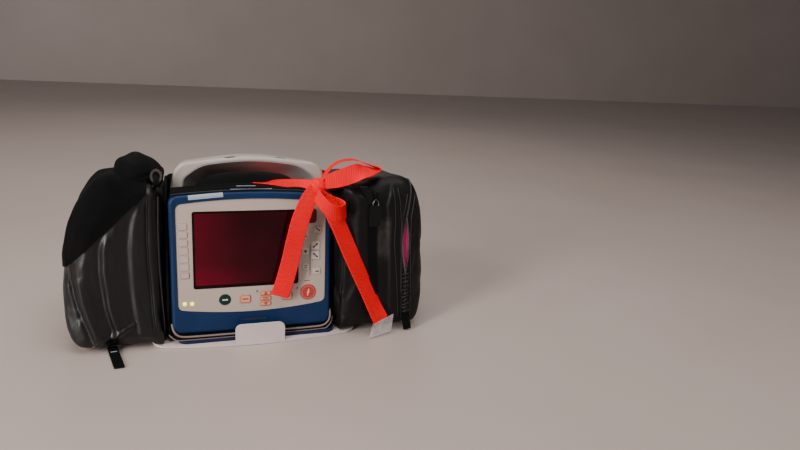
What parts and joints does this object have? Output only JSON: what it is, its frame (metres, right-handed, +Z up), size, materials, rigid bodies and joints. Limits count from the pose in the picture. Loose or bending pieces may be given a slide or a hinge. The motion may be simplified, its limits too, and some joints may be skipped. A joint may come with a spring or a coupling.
{
  "type": "portable patient monitor and defibrillator in a soft carry case on a mounting tray",
  "caption": "Blue-bumpered patient monitor with a carrying arch, in a black soft case with side pockets, tied with red webbing, on a white bolt-down tray.",
  "frame": {"origin": "middle of the tray's four bolt holes, on its underside", "axes": "+X to the right of the display as seen by its user, +Y from the display to the back, +Z up"},
  "size_m": [0.4846, 0.245, 0.2591],
  "materials": {
    "tray_paint": "satin enamel",
    "pad_foam": "closed-cell foam",
    "case_fabric": "woven nylon",
    "case_leatherette": "coated cloth with a fine grain",
    "black_webbing": "woven tape",
    "clip_plastic": "moulded",
    "buckle_metal": "grey",
    "housing_plastic": "moulded",
    "battery_plastic": "moulded",
    "bumper_rubber": "blue elastomer",
    "panel_plastic": "fine texture",
    "window_plastic": "dark and glossy",
    "chassis_plastic": "moulded",
    "handle_plastic": "moulded",
    "grip_rubber": "soft touch",
    "key_plain": "membrane",
    "key_maroon": "glossy",
    "key_green": "glossy",
    "key_red": "glossy",
    "key_orange": "membrane",
    "led_green": "lit",
    "tie_strap": "flat woven webbing",
    "clear_tape": "clear film"
  },
  "bodies": {
    "root": {"mounting_tray": "tray_paint", "tray_pad": "pad_foam", "case_bottom_panel": "case_fabric", "case_left_panel": "case_fabric", "case_right_panel": "case_fabric", "case_back_panel": "case_fabric", "case_top_panel": "case_fabric", "case_top_strip": "case_fabric", "left_pocket_body": "case_leatherette", "right_pocket_body": "case_leatherette", "shoulder_strap_roll": "case_fabric", "strap_buckle": "buckle_metal", "left_zip_pull": "black_webbing", "right_zip_pull": "black_webbing", "right_pocket_clip": "clip_plastic", "monitor_housing": "housing_plastic", "bumper_frame": "bumper_rubber", "front_panel": "panel_plastic", "display_window": "window_plastic", "display_chassis": "chassis_plastic", "handle_shell": "handle_plastic", "handle_grip": "grip_rubber", "softkeys": "key_plain", "side_keys": "key_plain", "alarm_key": "key_maroon", "power_key": "key_green", "shock_key": "key_red", "back_key": "key_orange", "nav_keys": "key_orange", "home_key": "key_orange", "status_leds": "led_green", "strap_wrap": "tie_strap", "strap_knot": "tie_strap", "strap_loop_upper": "tie_strap", "strap_loop_lower": "tie_strap", "strap_tail_left": "tie_strap", "strap_tail_right": "tie_strap", "tape_tag": "clear_tape"},
    "battery": {"battery_pack": "battery_plastic"},
    "left_lid": {"left_pocket_lid": "case_leatherette"},
    "right_lid": {"right_pocket_lid": "case_leatherette"}
  },
  "joints": [
    {"name": "battery_slide", "type": "slide", "parent": "root", "child": "battery", "axis": [0, 1, 0], "range_m": [0, 0.095]},
    {"name": "left_lid_hinge", "type": "hinge", "parent": "root", "child": "left_lid", "pos_m": [-0.2105, 0.0725, 0.1], "axis": [0, 0, -1], "range_deg": [0, 110]},
    {"name": "right_lid_hinge", "type": "hinge", "parent": "root", "child": "right_lid", "pos_m": [0.2075, 0.0665, 0.1], "axis": [0, 0, 1], "range_deg": [0, 110]}
  ]
}
